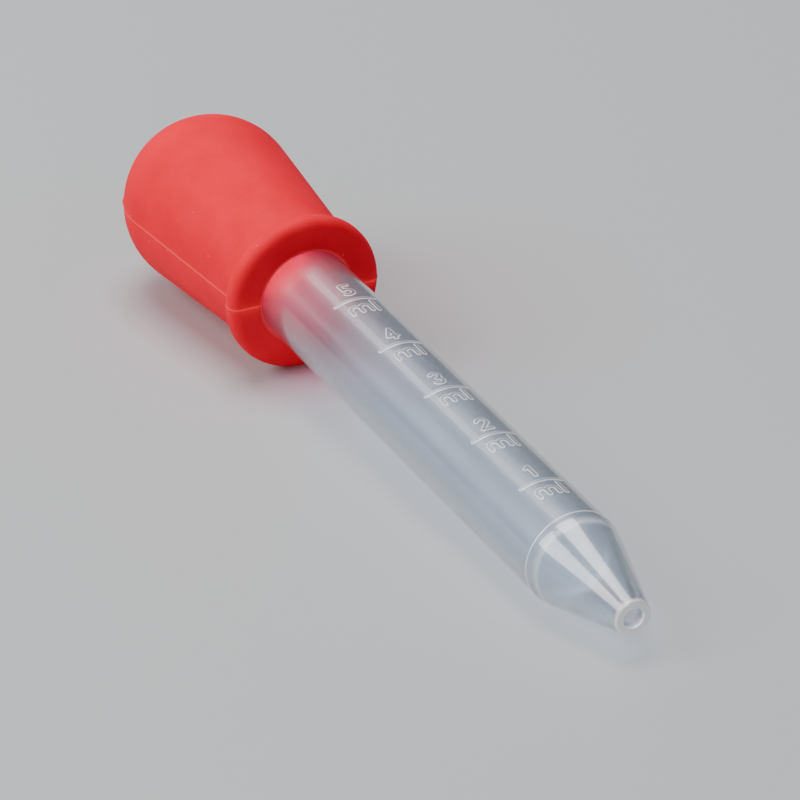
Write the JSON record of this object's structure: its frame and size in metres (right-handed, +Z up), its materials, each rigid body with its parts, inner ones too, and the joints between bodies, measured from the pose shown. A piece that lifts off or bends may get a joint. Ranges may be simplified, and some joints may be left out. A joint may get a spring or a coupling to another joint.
{
  "type": "medicine dropper",
  "caption": "Graduated plastic dropper with a tapered tip and a soft squeeze bulb, for measuring and giving small volumes of liquid.",
  "frame": {"origin": "centre of the bounding box on the table the dropper lies on", "axes": "+X towards the tip, +Z up, graduations facing up; the dropper's axis dips 3.39 degrees towards the tip"},
  "size_m": [0.1223, 0.0228, 0.0233],
  "materials": {
    "barrel_plastic": "translucent natural polypropylene, smooth moulded",
    "bulb_rubber": "red silicone rubber, soft satin moulded"
  },
  "bodies": {
    "barrel": {"barrel": "barrel_plastic"},
    "bulb": {"bulb": "bulb_rubber"},
    "bulb_upper_pad": {"bulb_upper_pad": "bulb_rubber"},
    "bulb_lower_pad": {"bulb_lower_pad": "bulb_rubber"}
  },
  "joints": [
    {"name": "bulb_pull_off", "type": "slide", "parent": "barrel", "child": "bulb", "axis": [-0.9982, 0, 0.0592], "range_m": [0, 0.02]},
    {"name": "bulb_squeeze", "type": "slide", "parent": "bulb", "child": "bulb_upper_pad", "axis": [-0.0592, 0, -0.9982], "range_m": [0, 0.005], "stiffness_N_per_m": 400},
    {"name": "bulb_squeeze_under", "type": "slide", "parent": "bulb", "child": "bulb_lower_pad", "axis": [0.0592, 0, 0.9982], "range_m": [0, 0.005], "stiffness_N_per_m": 400}
  ],
  "couplings": [
    {"joint": "bulb_squeeze_under", "follows": "bulb_squeeze", "ratio": 1}
  ]
}
